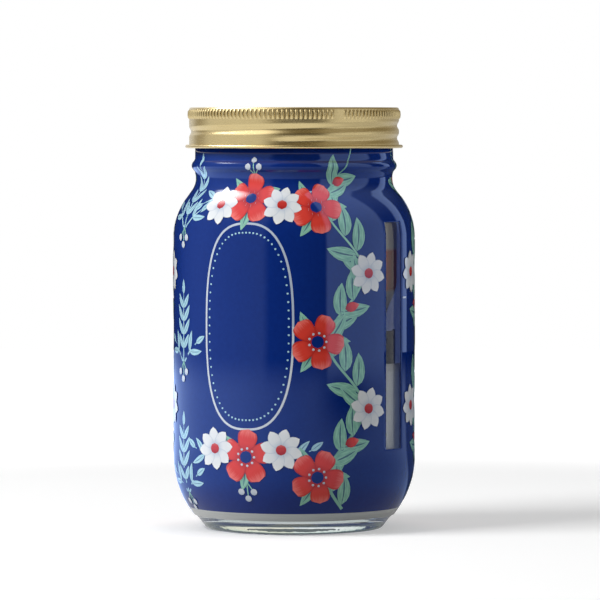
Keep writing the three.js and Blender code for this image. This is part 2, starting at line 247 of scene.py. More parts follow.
def grid(rows, columns, loop_rows=False, loop_columns=False, skip=lambda i, j: False):
    """Quads over points that are stored row by row."""
    faces = []
    for i in range(rows if loop_rows else rows - 1):
        for j in range(columns if loop_columns else columns - 1):
            k, m = (i + 1) % rows, (j + 1) % columns
            if not skip(i, j):
                faces.append((i * columns + j, i * columns + m, k * columns + m, k * columns + j))
    return faces


def placed(name, data):
    """A new object in the scene."""
    made = bpy.data.objects.new(name, data)
    bpy.context.scene.collection.objects.link(made)
    return made


def smoothed(mesh, crease):
    """Smooth shading up to a crease angle in degrees."""
    mesh.shade_smooth()
    mesh.set_sharp_from_angle(angle=math.radians(crease))


def piece(name, points, faces, *finishes, uvs=None, closed=True):
    """An object from points in millimetres, with its doubles merged and smooth shading."""
    mesh = bpy.data.meshes.new(name)
    mesh.from_pydata([Vector(p) * MM for p in points], [], faces)
    if uvs:
        layer = mesh.uv_layers.new(name="UVMap")
        for loop in mesh.loops:
            layer.data[loop.index].uv = uvs[loop.vertex_index]
    form = bmesh.new()
    form.from_mesh(mesh)
    bmesh.ops.remove_doubles(form, verts=form.verts, dist=1e-7)
    if closed:
        bmesh.ops.recalc_face_normals(form, faces=form.faces)
    form.to_mesh(mesh)
    form.free()
    smoothed(mesh, 40)
    for finish in finishes:
        mesh.materials.append(finish)
    return placed(name, mesh)


def turned(name, profile, *finishes, segments=160, swell=lambda angle, r, z: 0, looped=False):
    """A profile turned about +Z. swell adds to the radius at an angle, radius and height."""
    points = [around(r + swell(a, r, z), a, z) for r, z in profile for a in turns(segments)]
    return piece(name, points, grid(len(profile), segments, looped, True), *finishes)


def prism(name, outline, place, *finishes):
    """An outline pushed through from one depth to another. place(u, v, end) sets each point."""
    count = len(outline)
    points = [place(u, v, end) for end in (0, 1) for u, v in outline]
    faces = [tuple(range(count))[::-1], tuple(range(count, 2 * count)), *grid(2, count, False, True)]
    return piece(name, points, faces, *finishes)


def sort_faces(made, rule):
    """Gives each face the finish whose number a rule tells."""
    for face in made.data.polygons:
        face.material_index = int(rule(face))


def flattened(source):
    """Turns an object with its modifiers into a plain mesh."""
    seen = source.evaluated_get(bpy.context.evaluated_depsgraph_get())
    mesh = bpy.data.meshes.new_from_object(seen)
    source.modifiers.clear()
    source.data = mesh
    return source


def joined(name, parts):
    """One object from several that share their finishes."""
    form = bmesh.new()
    for part in parts:
        form.from_mesh(part.data)
    mesh = bpy.data.meshes.new(name)
    form.to_mesh(mesh)
    form.free()
    for finish in parts[0].data.materials:
        mesh.materials.append(finish)
    for part in parts:
        bpy.data.objects.remove(part)
    return placed(name, mesh)


# Node trees


class Wire:
    """An output socket of a node. Arithmetic on it adds Math nodes to its tree."""

    def __init__(self, tree, socket):
        self.tree = tree
        self.socket = socket

    def out(self, name):
        """Another output of the same node."""
        return Wire(self.tree, self.socket.node.outputs[name])

    def __add__(self, other):
        return self.tree.math("ADD", self, other)

    def __sub__(self, other):
        return self.tree.math("SUBTRACT", self, other)

    def __rsub__(self, other):
        return self.tree.math("SUBTRACT", other, self)

    def __mul__(self, other):
        return self.tree.math("MULTIPLY", self, other)

    def __truediv__(self, other):
        return self.tree.math("DIVIDE", self, other)

    def __pow__(self, other):
        return self.tree.math("POWER", self, other)

    def __abs__(self):
        return self.tree.math("ABSOLUTE", self)

    __radd__ = __add__
    __rmul__ = __mul__


class Tree:
    """A node tree under construction."""

    def __init__(self, tree):
        self.tree = tree

    def link(self, wire, socket):
        self.tree.links.new(wire.socket, socket)

    def node(self, kind, sockets=None, out=0, **settings):
        """Adds a node with its settings and its sockets' values or links, and gives one of its outputs."""
        made = self.tree.nodes.new(kind)
        for name, value in settings.items():
            setattr(made, name, value)
        for name, value in (sockets or {}).items():
            if isinstance(value, Wire):
                self.link(value, made.inputs[name])
            else:
                made.inputs[name].default_value = value
        return Wire(self, made.outputs[out])

    def math(self, operation, *values):
        return self.node("ShaderNodeMath", dict(enumerate(values)), operation=operation)

    def vector(self, operation, *values, out=0):
        return self.node("ShaderNodeVectorMath", dict(enumerate(values)), out, operation=operation)

    def mix(self, share, a, b):
        """Colour a where share is 0, b where it is 1."""
        return self.node("ShaderNodeMix", {0: share, 6: a, 7: b}, 2, data_type="RGBA")

    def smooth(self, value, low, high):
        """0 below low, 1 above high, eased between."""
        ends = {"Value": value, "From Min": low, "From Max": high}
        return self.node("ShaderNodeMapRange", ends, interpolation_type="SMOOTHSTEP")

    def fade(self, value, low, high):
        """1 below low, 0 above high, eased between."""
        return 1 - self.smooth(value, low, high)

    def span(self, value, *ends):
        """1 between the middle two of four ends, 0 outside the outer two, eased between."""
        return self.smooth(value, *ends[:2]) * self.fade(value, *ends[2:])

    def split(self, vector):
        """The x, y and z of a vector."""
        x = self.node("ShaderNodeSeparateXYZ", {"Vector": vector})
        return x, x.out("Y"), x.out("Z")

    def bearing(self, x, y):
        """Degrees about +Z from the camera's side towards +X."""
        return self.math("ARCTAN2", x, 0 - y) * math.degrees(1)

    def rays(self, *kinds):
        """For each kind, 1 on rays of that kind and 0 on others."""
        path = self.node("ShaderNodeLightPath")
        return [path.out(f"Is {kind} Ray") for kind in kinds]

    def copies(self, points, shape, sockets):
        """A shape set on points, as plain geometry."""
        seats = {"Points": points, "Instance": shape, **sockets}
        made = self.node("GeometryNodeInstanceOnPoints", seats)
        return self.node("GeometryNodeRealizeInstances", {"Geometry": made})


class Finish(Tree):
    """A material with one Principled shader. Fixed values go straight onto the shader's sockets."""

    def __init__(self, name, fixed):
        self.material = bpy.data.materials.new(name)
        self.material.use_nodes = True
        super().__init__(self.material.node_tree)
        self.shader = self.tree.nodes["Principled BSDF"]
        for socket, value in fixed.items():
            self.shader.inputs[socket].default_value = value
        self.look = Wire(self, self.shader.outputs[0])
        coordinates = self.node("ShaderNodeTexCoord")
        self.place = coordinates.out("Object")
        self.uv = coordinates.out("UV")

    def feed(self, socket, wire):
        self.link(wire, self.shader.inputs[socket])

    def show(self, wire):
        """Shows another shader in place of the Principled one."""
        self.link(wire, self.tree.nodes["Material Output"].inputs["Surface"])

    def noise(self, scale, detail=2, stretch=(1, 1, 1), at=None):
        """Noise from 0 to 1, with scale in features to the metre, or to the width of a UV map."""
        spread = self.vector("MULTIPLY", at or self.place, stretch)
        return self.node("ShaderNodeTexNoise", {"Vector": spread, "Scale": scale, "Detail": detail})

    def done(self, colour, rough=None, relief=None, depth=0):
        """Feeds colour, roughness and a relief with its depth in metres, and gives the material."""
        self.feed("Base Color", colour)
        if rough:
            self.feed("Roughness", rough)
        if relief:
            sockets = {"Height": relief, "Distance": depth, "Strength": 1}
            self.feed("Normal", self.node("ShaderNodeBump", sockets))
        return self.material


def geometry_tree(name, inputs):
    """A Geometry Nodes tree, the wires of its named inputs, and a function that ends it in a finish."""
    group = bpy.data.node_groups.new(name, "GeometryNodeTree")
    group.interface.new_socket("Geometry", in_out="OUTPUT", socket_type="NodeSocketGeometry")
    kinds = {"Geometry": "Geometry", **inputs, "Finish": "Material"}
    for label, kind in kinds.items():
        group.interface.new_socket(label, in_out="INPUT", socket_type="NodeSocket" + kind)
    tree = Tree(group)
    source = group.nodes.new("NodeGroupInput")
    given = {label: Wire(tree, source.outputs[label]) for label in kinds}

    def end(geometry):
        sockets = {"Geometry": geometry, "Material": given["Finish"]}
        shown = tree.node("GeometryNodeSetMaterial", sockets)
        tree.link(shown, group.nodes.new("NodeGroupOutput").inputs[0])
        return group

    return tree, given, end


def grown(source, group, values):
    """What a Geometry Nodes tree makes of an object, as a plain mesh."""
    modifier = source.modifiers.new(group.name, "NODES")
    modifier.node_group = group
    for item in group.interface.items_tree:
        if item.in_out == "INPUT" and item.name in values:
            modifier[item.identifier] = values[item.name]
    return flattened(source)


def ring_tree():
    """Copies of a shape turned about +Z through a sweep of degrees."""
    tree, given, end = geometry_tree("ring", {"Count": "Int", "Start": "Float", "Step": "Float"})
    seats = tree.node("GeometryNodeMeshLine", {"Count": given["Count"], "Offset": (0, 0, 0)})
    degrees = given["Start"] + tree.node("GeometryNodeInputIndex") * given["Step"]
    turn = tree.node("ShaderNodeCombineXYZ", {"Z": degrees * math.radians(1)})
    return end(tree.copies(seats, given["Geometry"], {"Rotation": turn}))


def print_tree():
    """Flat shapes repeated along the girth and bent onto the jar: x goes round it, y up the profile."""
    inputs = {"Profile": "Object", "Body Radius": "Float", "Copies": "Int", "Skip": "Int"}
    tree, given, end = geometry_tree("wrap_print", inputs)
    girth = given["Body Radius"] * (2 * math.pi)
    step = tree.node("ShaderNodeCombineXYZ", {"X": girth / given["Copies"]})
    columns = tree.node("GeometryNodeMeshLine", {"Count": given["Copies"], "Offset": step})
    kept = tree.math("GREATER_THAN", tree.node("GeometryNodeInputIndex"), given["Skip"] - 0.5)
    flat = tree.copies(columns, given["Geometry"], {"Selection": kept})
    x, y, z = tree.split(tree.node("GeometryNodeInputPosition"))
    profile = tree.node("GeometryNodeObjectInfo", {"Object": given["Profile"]}, "Geometry")
    sockets = {"Curves": profile, "Length": y}
    foot = tree.node("GeometryNodeSampleCurve", sockets, "Position", mode="LENGTH")
    outward = tree.vector("CROSS_PRODUCT", (0, 1, 0), foot.out("Tangent"))
    lift = tree.node("ShaderNodeCombineXYZ", {"X": z, "Y": z, "Z": z})
    lifted = tree.vector("MULTIPLY_ADD", outward, lift, foot)
    sockets = {"Vector": lifted, "Angle": x / given["Body Radius"] - math.pi / 2}
    bent = tree.node("ShaderNodeVectorRotate", sockets, rotation_type="Z_AXIS")
    return end(tree.node("GeometryNodeSetPosition", {"Geometry": flat, "Position": bent}))


def fibre_tree():
    """Loose fibres standing out of a surface in random turns."""
    tree, given, end = geometry_tree("fibres", {"Fibre": "Object", "Density": "Float", "Seed": "Int"})
    fibre = tree.node("GeometryNodeObjectInfo", {"Object": given["Fibre"]}, "Geometry")
    sockets = {"Mesh": given["Geometry"], "Density": given["Density"], "Seed": given["Seed"]}
    seats = tree.node("GeometryNodeDistributePointsOnFaces", sockets)
    limits = {0: (-FIBRE_LEAN, -FIBRE_LEAN, 0), 1: (FIBRE_LEAN, FIBRE_LEAN, 6.28), "Seed": given["Seed"]}
    turn = tree.node("FunctionNodeRandomValue", limits, data_type="FLOAT_VECTOR")
    sockets = {"Rotation": seats.out("Rotation"), "Rotate By": turn}
    lean = tree.node("FunctionNodeRotateRotation", sockets, rotation_space="LOCAL")
    loose = tree.copies(seats, fibre, {"Rotation": lean})
    both = tree.node("GeometryNodeJoinGeometry", {"Geometry": loose})
    tree.link(given["Geometry"], both.socket.node.inputs[0])
    return end(both)


# Finishes

LONGEST_WAY = 4.5  # bounces of light inside the glass
GLOSS = {"Roughness": 0.5, "Specular IOR Level": 0, "Coat Weight": 1, "Coat Roughness": 0, "Coat IOR": 1.5}


def clear_glass(name, gloss):
    """Soda-lime glass, faintly green, with slight waves and a stippled ring round the foot.
    Lamplight, and light that would run on and on inside it, goes straight through."""
    tint = (gloss, gloss, gloss, 1)
    glass = Finish(name, {"Roughness": 0, "IOR": 1.5, "Specular Tint": tint, "Transmission Weight": 1})
    x, y, z = glass.split(glass.place)
    ring = glass.smooth(reach(x, y), 0.029, 0.0305) * glass.fade(z, 0.0015, 0.003)
    clear = glass.node("ShaderNodeBsdfTransparent", {"Color": srgb(244, 248, 248)})
    shadow, diffuse = glass.rays("Shadow", "Diffuse")
    trapped = glass.math("GREATER_THAN", shadow.out("Ray Depth"), LONGEST_WAY)
    passing = shadow + diffuse + trapped
    glass.show(glass.node("ShaderNodeMixShader", {0: passing, 1: glass.look, 2: clear}))
    relief = glass.noise(400, 1) * ring * 0.15 + glass.noise(45, 0) * 0.2
    colour = glass.mix(ring, srgb(240, 244, 243), srgb(208, 224, 217))
    return glass.done(colour, relief=relief, depth=0.0005)


def gloss_ink(name, paint, *colours):
    """Printed film under a clear gloss, with the slight waves of the glass. paint mixes the colours."""
    ink = Finish(name, GLOSS)
    return ink.done(paint(ink, *colours), relief=ink.noise(35, 1), depth=0.0002)


def bare(ink):
    """Milky grey of the film where it isn't printed, drawn out round the jar."""
    return ink.mix(ink.noise(60, 3, (1, 1, 25)), srgb(176, 180, 179), srgb(204, 208, 207))


def navy(ink):
    return ink.mix(ink.noise(600, 3), srgb(8, 36, 108), srgb(12, 44, 122))


def leaf_marks(ink, light, dark):
    """Brushed strokes along a leaf, with a dark midrib."""
    along, across, _ = ink.split(ink.uv)
    strokes = ink.noise(1, 2, (2.5, 14, 1), ink.uv)
    rib = ink.fade(abs(across - 0.5), 0.025, 0.075) * ink.fade(along, 0.75, 0.95)
    body = ink.mix(ink.smooth(strokes, 0.35, 0.65), dark, light)
    return ink.mix(rib * 0.75, body, srgb(26, 46, 104))


def petal_marks(ink, deep, body, light):
    """Fine streaks from the root of a petal to a paler lip, with darker sides."""
    along, across, _ = ink.split(ink.uv)
    streaks = ink.noise(1, 2, (1.5, 22, 1), ink.uv)
    root = ink.mix(ink.smooth(along, 0.05, 0.55), deep, body)
    lip = ink.smooth(along + streaks * 0.5, 0.9, 1.25)
    sides = ink.smooth(abs(across - 0.5), 0.38, 0.5)
    return ink.mix(sides * 0.55, ink.mix(lip * 0.8, root, light), deep)


INKS = {
    "green": ("mint_ink", leaf_marks, srgb(152, 204, 180), srgb(112, 166, 148)),
    "blue": ("pale_blue_ink", leaf_marks, srgb(176, 211, 222), srgb(138, 184, 202)),
    "red": ("red_ink", petal_marks, srgb(160, 34, 32), srgb(212, 62, 48), srgb(236, 128, 118)),
    "white": ("white_ink", petal_marks, srgb(172, 184, 200), srgb(216, 219, 221), srgb(230, 231, 229)),
}


def film_back():
    """Silvery grey back of the printed film, with a painted glow standing in for light from the foot and,
    dimmer and bluer, light through the film.
    """
    back = Finish("film_back", {"Roughness": 0.5, "Metallic": 0.2, "Emission Strength": 1})
    _, _, z = back.split(back.place)
    # Painted light: the back glows grey near the foot and dim blue above it, in place of light through the
    # glass and the navy film.
    through = back.mix(back.noise(40, 1), (0.015, 0.02, 0.08, 1), (0.025, 0.035, 0.12, 1))
    back.feed("Emission Color", back.mix(back.smooth(z, 0.012, 0.035), (0.12, 0.125, 0.12, 1), through))
    return back.done(back.mix(back.noise(300, 2), srgb(176, 178, 180), srgb(204, 206, 206)))


def gold_lacquer():
    """Satin gold tinplate with fine streaks round it."""
    gold = Finish("gold_lacquer", {"Metallic": 0.95, "Coat Weight": 0.5, "Coat Roughness": 0.3})
    streaks = gold.noise(90, 3, (1, 1, 40))
    cloud = streaks * 0.6 + gold.noise(120, 2) * 0.4
    colour = gold.mix(cloud, srgb(213, 190, 134), srgb(233, 213, 158))
    return gold.done(colour, 0.22 + 0.1 * streaks, streaks, 0.00002)


def lid_enamel():
    """Cream enamel on the underside of the lid."""
    enamel = Finish("lid_enamel", {"Coat Weight": 0.5})
    flecks = enamel.noise(900, 2)
    return enamel.done(enamel.mix(flecks, srgb(222, 214, 190), srgb(236, 230, 212)), 0.3 + 0.15 * flecks)


def seal_rubber():
    """Soft grey sealing compound."""
    rubber = Finish("seal_rubber", {"Specular IOR Level": 0.3})
    grain = rubber.noise(1500, 3)
    colour = rubber.mix(grain, srgb(186, 180, 168), srgb(208, 203, 193))
    return rubber.done(colour, 0.55 + 0.2 * grain, grain, 0.00004)


def card_board():
    """Cream board with a printed green rim, a dotted line inside it and flecks of fibre."""
    card = Finish("card_board", {"Specular IOR Level": 0.25})
    x, y, z = card.split(card.place)
    fleck = card.smooth(card.noise(700, 2, (1, 0.3, 1)), 0.66, 0.74)
    paper = card.mix(fleck * 0.5, srgb(238, 229, 208), srgb(196, 180, 148))
    rim = card.fade(abs(reach(x, y) - CARD_RIM * MM), 0.0006, 0.0008)
    beads = card.smooth(card.math("SINE", card.math("ARCTAN2", y, x) * CARD_DOTS), 0, 0.3)
    dots = card.fade(abs(reach(x, y) - CARD_DOTS_RADIUS * MM), 0.0003, 0.0005) * beads
    top = card.smooth(z, (CARD_Z + 0.2) * MM, (CARD_Z + 0.3) * MM)
    colour = card.mix((rim + dots) * top, paper, srgb(96, 142, 116))
    return card.done(colour, 0.8 + 0.15 * fleck, card.noise(2500, 2), 0.00003)


def brushed_steel():
    """Stainless sheet, brushed round and a little clouded."""
    steel = Finish("brushed_steel", {"Metallic": 1})
    lines = steel.noise(110, 3, (1, 1, 30))
    colour = steel.mix(lines, srgb(176, 178, 182), srgb(206, 208, 210))
    return steel.done(colour, 0.22 + 0.1 * lines + 0.1 * steel.noise(60, 2), lines, 0.00002)


def wick_felt():
    """Matted white felt with a fuzzy grain."""
    felt = Finish("wick_felt", {"Sheen Weight": 0.4, "Specular IOR Level": 0.1})
    matted = felt.noise(1600, 4)
    tufts = felt.noise(260, 3)
    colour = felt.mix(matted * 0.6 + tufts * 0.4, srgb(206, 199, 184), srgb(240, 236, 226))
    return felt.done(colour, 0.85 + 0.15 * matted, matted * 0.5 + tufts * 0.5, 0.0004)


def coir():
    """Pressed brown fibre with pale strands and dark crumbs."""
    husk = Finish("coir_husk", {"Specular IOR Level": 0.15})
    strands = husk.noise(500, 4, (1, 0.35, 1.6))
    crumbs = husk.noise(900, 2)
    body = husk.mix(husk.smooth(strands, 0.35, 0.65), srgb(62, 40, 26), srgb(128, 88, 56))
    colour = husk.mix(husk.smooth(crumbs, 0.6, 0.7), body, srgb(36, 24, 16))
    return husk.done(colour, 0.85 + 0.15 * crumbs, strands * 0.6 + crumbs * 0.4, 0.0006)


def packet_paper():
    """Grey seed packet paper with a terracotta band, pale above it, and a fine tooth."""
    paper = Finish("packet_paper", {"Specular IOR Level": 0.2})
    _, _, z = paper.split(paper.place)
    tooth = paper.noise(1300, 3)
    bands = paper.node("ShaderNodeValToRGB", {"Fac": z / (BANDS_TOP_Z * MM)})
    stops = bands.socket.node.color_ramp.elements
    stops.remove(stops[0])
    stops[0].position, stops[0].color = 0, srgb(176, 168, 158)
    stops.new(0.70).color = srgb(176, 168, 158)
    stops.new(0.71).color = srgb(190, 88, 66)
    stops.new(0.82).color = srgb(204, 98, 74)
    stops.new(0.83).color = srgb(206, 194, 176)
    colour = paper.mix(tooth * 0.35, bands, srgb(216, 190, 168))
    return paper.done(colour, 0.7 + 0.25 * tooth, tooth, 0.00006)


def sachet_film(name, dark, light, metallic):
    """Heat-sealed film, scuffed and creased, with pressed lines along its seals."""
    film = Finish(name, {"Metallic": metallic, "Coat Weight": 0.3, "Coat Roughness": 0.2})
    along, across, _ = film.split(film.uv)
    scuff = film.noise(220, 4)
    seal = film.smooth(abs(along - 0.5), 0.44, 0.455)
    relief = film.noise(120, 3) * 0.6 + film.math("SINE", across * 900) * seal * 0.2
    return film.done(film.mix(scuff, dark, light), 0.3 + 0.3 * scuff, relief, 0.0006)


# Pieces of the jar


def thread_rise(turn, ends):
    """How far a thread has risen at a turn, from 0 at its ends to 1."""
    start, end = ends
    return smoothstep(turn, start, start + THREAD_FADE) * (1 - smoothstep(turn, end - THREAD_FADE, end))


def thread_at(angle, z, start_z, ends, half_width):
    """Share of a thread's full height at an angle and height, rounded across its width."""
    best = 0
    for lap in (-1, 0, 1):
        turn = angle / (2 * math.pi) + lap
        off = min(abs(z - start_z - PITCH * turn) / half_width, 1)
        best = max(best, thread_rise(turn, ends) * math.cos(off * math.pi / 2) ** 2)
    return best


def glass_jar():
    """The jar from the middle of its base out and up to the rim, then down inside, with its thread."""
    finish = NECK_RADIUS - GLASS_INSET
    rim_z = GLASS_HEIGHT - RIM_ROUND
    side = FOOT_RADIUS + FOOT_ROUND
    ring = FOOT_RADIUS - FOOT_WIDTH
    floor_edge = inside_radius(FLOOR_EDGE_Z)
    floor_pull = ((floor_edge + FLOOR_RADIUS) / 2, FLOOR_Z)
    heel_end = heel(GLASS_INSET, FOOT_Z, HEEL_Z)[0]
    inner = shoulder(BODY_RADIUS - INNER_INSET, SHOULDER_RADIUS - INNER_INSET, MOUTH_RADIUS)
    outline = [
        (0, PUSH_UP),
        *bezier([(ring - 12, PUSH_UP), (ring - 2, PUSH_UP), (ring, 0)], 10),
        *bezier([(FOOT_RADIUS, 0), (side, 0), (side, FOOT_ROUND), heel_end], 12),
        *thinned(wrapped_outline(GLASS_INSET)),
        *[(finish, lerp(WRAP_TOP_Z, rim_z, t)) for t in shares(36)[1:-1]],
        *arc(finish - RIM_ROUND, rim_z, RIM_ROUND, 0, 90, 6),
        *arc(MOUTH_RADIUS + RIM_ROUND, rim_z, RIM_ROUND, 90, 180, 6),
        *thinned(softened(inner))[::-1],
        *heel(INNER_INSET, FLOOR_EDGE_Z, HEEL_Z)[::-2],
        *bezier([(floor_edge, FLOOR_EDGE_Z), floor_pull, (FLOOR_RADIUS, FLOOR_Z)], 10)[1:],
        (FLOOR_RADIUS / 2, FLOOR_Z + FLOOR_RISE * 0.75),
        (0, FLOOR_Z + FLOOR_RISE),
    ]

    def ridge(angle, r, z):
        if z <= WRAP_TOP_Z or r <= finish - 0.01:
            return 0
        return RIDGE_HEIGHT * thread_at(angle, z, GROOVE_Z + PITCH / 2, RIDGE_TURNS, RIDGE_HALF)

    finishes = [clear_glass("wall_glass", gloss=0.2), clear_glass("foot_glass", gloss=1)]
    jar = turned("jar_glass", outline, *finishes, swell=ridge)
    sort_faces(jar, lambda face: face.center.z < PRINT_BOTTOM_Z * MM)
    return jar


def wrap_film():
    """Printed film over the glass, cut out where the window is and left bare along its lower edge."""
    outline = thinned(wrapped_outline(0))
    lips = (WINDOW_BOTTOM_Z - WINDOW_LIP, WINDOW_BOTTOM_Z, WINDOW_TOP_Z, WINDOW_TOP_Z + WINDOW_LIP)
    for edge in (PRINT_BOTTOM_Z, *lips):
        above = next(i for i, (r, z) in enumerate(outline) if z > edge)
        (r0, z0), (r1, z1) = outline[above - 1:above + 1]
        outline.insert(above, (lerp(r0, r1, (edge - z0) / (z1 - z0)), edge))
    half = math.degrees(math.asin(WINDOW_WIDTH / 2 / BODY_RADIUS))
    left, right = WINDOW_BEARING - half, WINDOW_BEARING + half
    pane = [lerp(left, right, share) for share in shares(WINDOW_COLUMNS)]
    rest = [lerp(right, left + 360, share) for share in shares(WRAP_COLUMNS)][1:-1]
    angles = [math.radians(a) for a in pane + rest]

    def in_window(i, j):
        return j < WINDOW_COLUMNS and WINDOW_BOTTOM_Z <= outline[i][1] < WINDOW_TOP_Z

    points = [around(r, a, z) for r, z in outline for a in angles]
    faces = grid(len(outline), len(angles), False, True, in_window)
    back = film_back()
    finishes = [gloss_ink("navy_film", navy), back, gloss_ink("bare_film", bare), back]
    film = piece("wrap_film", points, faces, *finishes, closed=False)
    sort_faces(film, lambda face: 2 if face.center.z < PRINT_BOTTOM_Z * MM else 0)
    solid = film.modifiers.new("film", "SOLIDIFY")
    solid.thickness = FILM * MM
    solid.offset = -1
    solid.material_offset = 1
    return flattened(film)


# Print on the wrap: climbing vines with flowers on their bends, and a bare panel.
# x is along the girth from the front, y up the profile. Lifts keep overlapping shapes apart.

GIRTH = 2 * math.pi * BODY_RADIUS
TILES = 3
TILE_X, VINE_X = math.radians(-5) * BODY_RADIUS, GIRTH / TILES / 4
VINE_WAVE, VINE_SWAY = 54, 8
PRINT_TOP, NECK_Y, FINE = 151, 114, 0.7
ROSE_Y = 70
ROSES = [ROSE_Y + VINE_WAVE * k for k in (-1, 0, 1)]
DAISIES = [ROSE_Y + VINE_WAVE * k for k in (-0.5, 0.5)]
PANEL_X, PANEL_Y, PANEL_HALF, PANEL_RISE = math.radians(-23) * BODY_RADIUS, 76, 19.3, 41
PANEL_POWER = 2.6
LEVEL_MARK_Y, BERRIES_Y = 86.7, 134
SPRAY_HEIGHTS, GAP_HEIGHTS, BUD_HEIGHTS = (34, 88), (8, 61, 115), (29, 83, 135)
STEM_LIFT, SPRIG_LIFT, CALYX_LIFT, LEAF_LIFT, LEAF_STEP = 0.04, 0.06, 0.09, 0.12, 0.03
PETAL_LIFT, HEART_LIFT, DAISY_LIFT, DAISY_HEART, LAYER = 0.19, 0.23, 0.25, 0.31, 0.006


class Stencil:
    """Flat shapes cut for one ink, with a UV map that runs along and across each shape."""

    def __init__(self):
        self.points, self.faces, self.uvs = [], [], []

    def strip(self, line, half_width, lift, across=2, marks=True):
        """A shape that follows a line, with a half width given by the share of its length."""
        if max(y for _, y in line) > NECK_Y:
            line = softened(line, FINE, 0)
            across = max(across, math.ceil(2 * max(half_width(s) for s in shares(8)) / FINE))
        first = len(self.points)
        for share, (x, y), (side_x, side_y) in zip(shares(len(line) - 1), line, normals(line)):
            half = max(half_width(share), 0.03)
            for t in shares(across):
                off = (1 - 2 * t) * half
                self.points.append((x + side_x * off, y + side_y * off, lift))
                self.uvs.append((share, t if marks else 0))
        self.faces += [[first + k for k in face] for face in grid(len(line), across + 1)]

    def dot(self, x, y, radius, lift):
        line = [(x, y + radius * (2 * t - 1)) for t in shares(10)]
        self.strip(line, lambda s: radius * math.sqrt(1 - (2 * s - 1) ** 2), lift, 4, False)


def stroke(x, y, heading, length, bend=0, count=7):
    """Points of a stroke from (x, y). The heading is in degrees from up towards +x, and turns by bend."""
    line = [(x, y)]
    for share in shares(count)[:-1]:
        angle = math.radians(heading + bend * (share + 0.5 / count))
        x += math.sin(angle) * length / count
        y += math.cos(angle) * length / count
        line.append((x, y))
    return line


def leaf(ink, x, y, heading, lift, length, width, bend=0):
    def half(s):
        return width / 2 * math.sin(math.pi * s ** 0.8) ** 0.8
    ink.strip(stroke(x, y, heading, length, bend), half, lift)


def stem(ink, line, width):
    ink.strip(line, lambda s: width / 2 * (1 - 0.5 * s), STEM_LIFT, 2, False)


def sprig(press, x, y, heading, length, bend=0):
    """Pale herb sprig: a thin stem with slender leaves in pairs, longest in the middle."""
    ink = press["blue"]
    pairs = round(length / 5.8)
    rib = stroke(x, y, heading, length, bend, pairs)
    stem(ink, rib, width=0.9)
    for i, place in enumerate(rib[1:-1], 1):
        share = i / pairs
        size = 5.5 + 3 * math.sin(math.pi * share)
        for side in (-1, 1):
            aim = heading + bend * share + side * 48
            leaf(ink, *place, aim, SPRIG_LIFT, length=size, width=2.6, bend=-side * 20)
    leaf(ink, *rib[-1], heading + bend, SPRIG_LIFT, length=6, width=2.5)


def berries(press, x, y, heading):
    """Three white berries on short stalks."""
    for turn, length in ((-34, 5), (0, 7), (34, 5)):
        stalk = stroke(x, y, heading + turn, length, 0, 3)
        stem(press["green"], stalk, width=0.6)
        press["white"].dot(*stalk[-1], 1.4, HEART_LIFT)


def rose(press, x, y, heading):
    """Open red flower of five broad petals round a dark heart with pale stamens."""
    def half(s):
        return 5.6 * s ** 0.55 * max(1 - s ** 5, 0) ** 0.5
    for turn in (-60, 60, 180):
        leaf(press["green"], x, y, heading + turn, CALYX_LIFT, length=14, width=5, bend=20)
    for k in range(5):
        petal = stroke(x, y, heading + 72 * k, length=11.2, bend=14, count=10)
        press["red"].strip(petal, half, PETAL_LIFT + LAYER * k, 4)
    press["navy"].dot(x, y, 2.5, HEART_LIFT)
    for angle in turns(9):
        press["white"].dot(x + 3.5 * math.cos(angle), y + 3.5 * math.sin(angle), 0.5, HEART_LIFT)


def daisy(press, x, y, heading):
    """White blossom of eight slim petals with a red heart."""
    def half(s):
        return 2.5 * math.sin(math.pi * s ** 1.2) ** 0.7
    for k in range(8):
        petal = stroke(x, y, heading + 45 * k, length=8.6, bend=8, count=8)
        press["white"].strip(petal, half, DAISY_LIFT + LAYER * k, 3)
    press["red"].dot(x, y, 2.1, DAISY_HEART)


def vine_x(y, side):
    return TILE_X + side * (VINE_X - VINE_SWAY * math.cos(2 * math.pi * (y - ROSE_Y) / VINE_WAVE))


def under_flower(y, side, hand):
    """Whether a leaf that starts at a height, on one hand of a vine, would lie under a flower."""
    flowers, clear = (DAISIES, 11) if hand == side else (ROSES, 12)
    return any(abs(y + 4 - flower) < clear for flower in flowers)


def vine(press, side):
    """A stem that sways up the jar, with leaves, red flowers on its inner bends and white ones on its
    outer bends. side is 1 where the red ones are to the left, -1 where they are to the right."""
    stem(press["green"], [(vine_x(y, side), y) for y in range(2, PRINT_TOP, 2)], width=1.3)
    for y in ROSES:
        rose(press, vine_x(y, side) - side * 4, y, side * 20)
    for y in DAISIES:
        daisy(press, vine_x(y, side) + side * 2.4, y, side * 10)
    for i, y in enumerate(range(3, PRINT_TOP - 12, 6)):
        lean = math.degrees(math.atan2(vine_x(y + 1, side) - vine_x(y - 1, side), 2))
        lift = LEAF_LIFT + LEAF_STEP * (i % 2)
        for hand in (-1, 1):
            if not under_flower(y, side, hand):
                x, aim = vine_x(y, side), lean + hand * 50
                leaf(press["green"], x, y + hand, aim, lift, length=13.5, width=5.8, bend=-hand * 20)
    for y in BUD_HEIGHTS:
        leaf(press["red"], vine_x(y, side), y, side * 75, PETAL_LIFT, length=6.5, width=4)


def spray(press, x, y):
    """An upright sprig between two that arch outwards, with berries below them."""
    berries(press, x, y, 180)
    sprig(press, x, y, 0, length=27)
    for side in (-1, 1):
        sprig(press, x + side, y, side * 40, length=12, bend=side * 20)


def draw_sprays(press):
    """Sprays between the red flowers."""
    for y in SPRAY_HEIGHTS:
        spray(press, TILE_X, y)
    berries(press, TILE_X, BERRIES_Y, 0)


def draw_gaps(press):
    """Sprays between the white flowers."""
    for y in GAP_HEIGHTS:
        spray(press, TILE_X + 2 * VINE_X, y)


